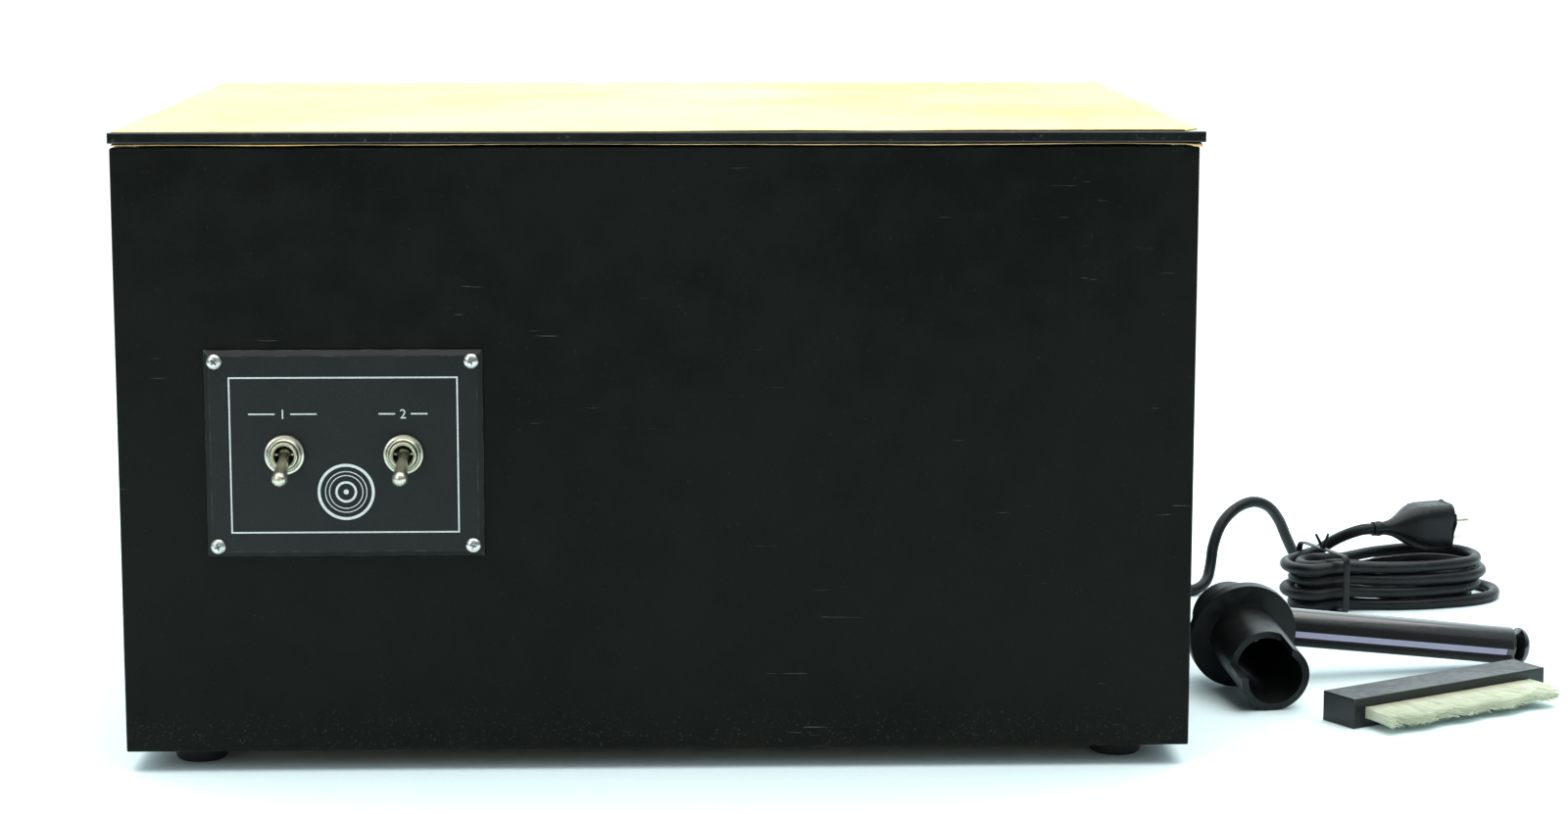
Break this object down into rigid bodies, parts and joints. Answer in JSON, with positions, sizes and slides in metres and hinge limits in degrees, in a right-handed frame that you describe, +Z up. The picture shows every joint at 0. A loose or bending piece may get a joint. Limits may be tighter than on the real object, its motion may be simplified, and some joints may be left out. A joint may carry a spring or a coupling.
{
  "type": "record cleaning machine",
  "caption": "Box-shaped record cleaning machine with a flat hinged lid, geared turntable, vacuum and waste tank, with its suction tube, brush and mains cord beside it.",
  "frame": {"origin": "centre of the cabinet's footprint, on the surface that its feet stand on", "axes": "+X to the right and +Y to the back, seen from the front with the switches, +Z up"},
  "size_m": [0.6971, 0.4673, 0.283],
  "materials": {
    "vinyl_black": "fine-grained black vinyl film on board",
    "raw_board": "bare hardboard",
    "softwood": "planed softwood",
    "deck_black": "black laminate on board",
    "screw_steel": "nickel-plated steel",
    "foot_rubber": "moulded black rubber",
    "black_plastic": "moulded black plastic",
    "acrylic": "dark smoked acrylic with polished edges",
    "masking_paper_top": "pale masking paper, stained and torn",
    "masking_paper_under": "tan masking paper",
    "clear_bumper": "clear soft polyurethane",
    "hinge_steel": "plated steel",
    "panel_black": "satin black anodised plate with a white printed line",
    "switch_plastic": "black moulded switch body",
    "nickel": "nickel plating",
    "cork_mat": "cork and rubber mat",
    "shaft_steel": "ground steel",
    "bronze": "sintered bronze",
    "gear_plastic": "white acetal",
    "frame_steel": "zinc-plated sheet",
    "tank_plastic": "natural polyethylene",
    "motor_housing": "cast housing",
    "terminal_plastic": "white plastic",
    "wire_sleeve": "insulated wire",
    "cord_black": "black flexible sheath",
    "brass_plate": "plated brass",
    "gloss_tube": "glossy black acrylic tube",
    "pipe_black": "black turned plastic",
    "velvet": "black velvet",
    "brush_body": "black plastic",
    "bristle_hair": "pale greenish-cream bristles"
  },
  "bodies": {
    "cabinet": {"front_board": "vinyl_black", "back_board": "vinyl_black", "left_board": "vinyl_black", "right_board": "vinyl_black", "bottom_board": "raw_board", "deck_cleats": "softwood", "deck": "deck_black", "case_screws": "screw_steel", "feet": "foot_rubber", "vent_grille": "black_plastic", "lid_bumpers": "clear_bumper", "hinge_case_leaves": "hinge_steel", "hinge_pins": "hinge_steel", "control_panel": "panel_black", "panel_screws": "screw_steel", "motor_switch": "switch_plastic", "vacuum_switch": "switch_plastic", "switch_nuts": "nickel", "shaft_bearing": "bronze", "gear_frame": "frame_steel", "platter_motor": "frame_steel", "tube_socket": "black_plastic", "socket_hose": "foot_rubber", "waste_tank": "tank_plastic", "tank_lid": "tank_plastic", "vacuum_hose": "foot_rubber", "vacuum_motor": "motor_housing", "terminal_block": "terminal_plastic", "wiring": "wire_sleeve", "strain_relief": "black_plastic", "power_cord_lead": "cord_black", "power_cord_hank": "cord_black", "power_cord_tail": "cord_black", "plug_body": "cord_black", "plug_blades": "brass_plate", "cord_tie": "black_plastic"},
    "lid": {"lid": "acrylic", "lid_top_paper": "masking_paper_top", "lid_under_paper": "masking_paper_under", "hinge_lid_leaves": "hinge_steel", "hinge_lid_screws": "screw_steel"},
    "motor_switch_lever": {"motor_switch_lever": "nickel"},
    "vacuum_switch_lever": {"vacuum_switch_lever": "nickel"},
    "turntable": {"platter": "black_plastic", "platter_mat": "cork_mat", "drive_shaft": "shaft_steel", "shaft_gear": "gear_plastic"},
    "record_clamp": {"record_clamp": "black_plastic"},
    "idler": {"idler_gear": "gear_plastic"},
    "motor_rotor": {"motor_pinion": "bronze"},
    "vacuum_rotor": {"vacuum_fan": "gear_plastic"},
    "drain_cap": {"drain_cap": "black_plastic"},
    "suction_tube": {"suction_pipe": "pipe_black", "suction_arm": "gloss_tube", "arm_cap": "gloss_tube", "suction_lips": "velvet"},
    "brush": {"brush_block": "brush_body", "brush_bristles": "bristle_hair"}
  },
  "joints": [
    {"name": "lid_hinge", "type": "hinge", "parent": "cabinet", "child": "lid", "pos_m": [0, 0.1868, 0.2772], "axis": [-1, 0, 0], "range_deg": [0, 95]},
    {"name": "motor_switch_toggle", "type": "hinge", "parent": "cabinet", "child": "motor_switch_lever", "pos_m": [-0.16225, -0.187, 0.143], "axis": [-1, 0, 0], "range_deg": [0, 36]},
    {"name": "vacuum_switch_toggle", "type": "hinge", "parent": "cabinet", "child": "vacuum_switch_lever", "pos_m": [-0.11075, -0.187, 0.143], "axis": [-1, 0, 0], "range_deg": [0, 36]},
    {"name": "platter_spin", "type": "hinge", "parent": "cabinet", "child": "turntable", "pos_m": [-0.06, 0, 0.23], "axis": [0, 0, 1], "continuous": true},
    {"name": "clamp_turn", "type": "hinge", "parent": "turntable", "child": "record_clamp", "pos_m": [-0.06, 0, 0.25], "axis": [0, 0, 1], "continuous": true},
    {"name": "idler_spin", "type": "hinge", "parent": "cabinet", "child": "idler", "pos_m": [-0.06, 0.03875, 0.17], "axis": [0, 0, 1], "continuous": true},
    {"name": "motor_spin", "type": "hinge", "parent": "cabinet", "child": "motor_rotor", "pos_m": [-0.02752, 0.02, 0.17], "axis": [0, 0, 1], "continuous": true},
    {"name": "vacuum_spin", "type": "hinge", "parent": "cabinet", "child": "vacuum_rotor", "pos_m": [-0.14, 0.1, 0.12], "axis": [0, 0, 1], "continuous": true},
    {"name": "drain_cap_pull", "type": "slide", "parent": "cabinet", "child": "drain_cap", "axis": [0, 1, 0], "range_m": [0, 0.03]},
    {"name": "suction_tube_lift", "type": "slide", "parent": "cabinet", "child": "suction_tube", "axis": [0, 0, 1], "range_m": [0, 0.06]},
    {"name": "brush_lift", "type": "slide", "parent": "cabinet", "child": "brush", "axis": [0, 0, 1], "range_m": [0, 0.06]}
  ],
  "couplings": [
    {"joint": "idler_spin", "follows": "platter_spin", "ratio": -4.1667},
    {"joint": "motor_spin", "follows": "platter_spin", "ratio": 16.667}
  ]
}
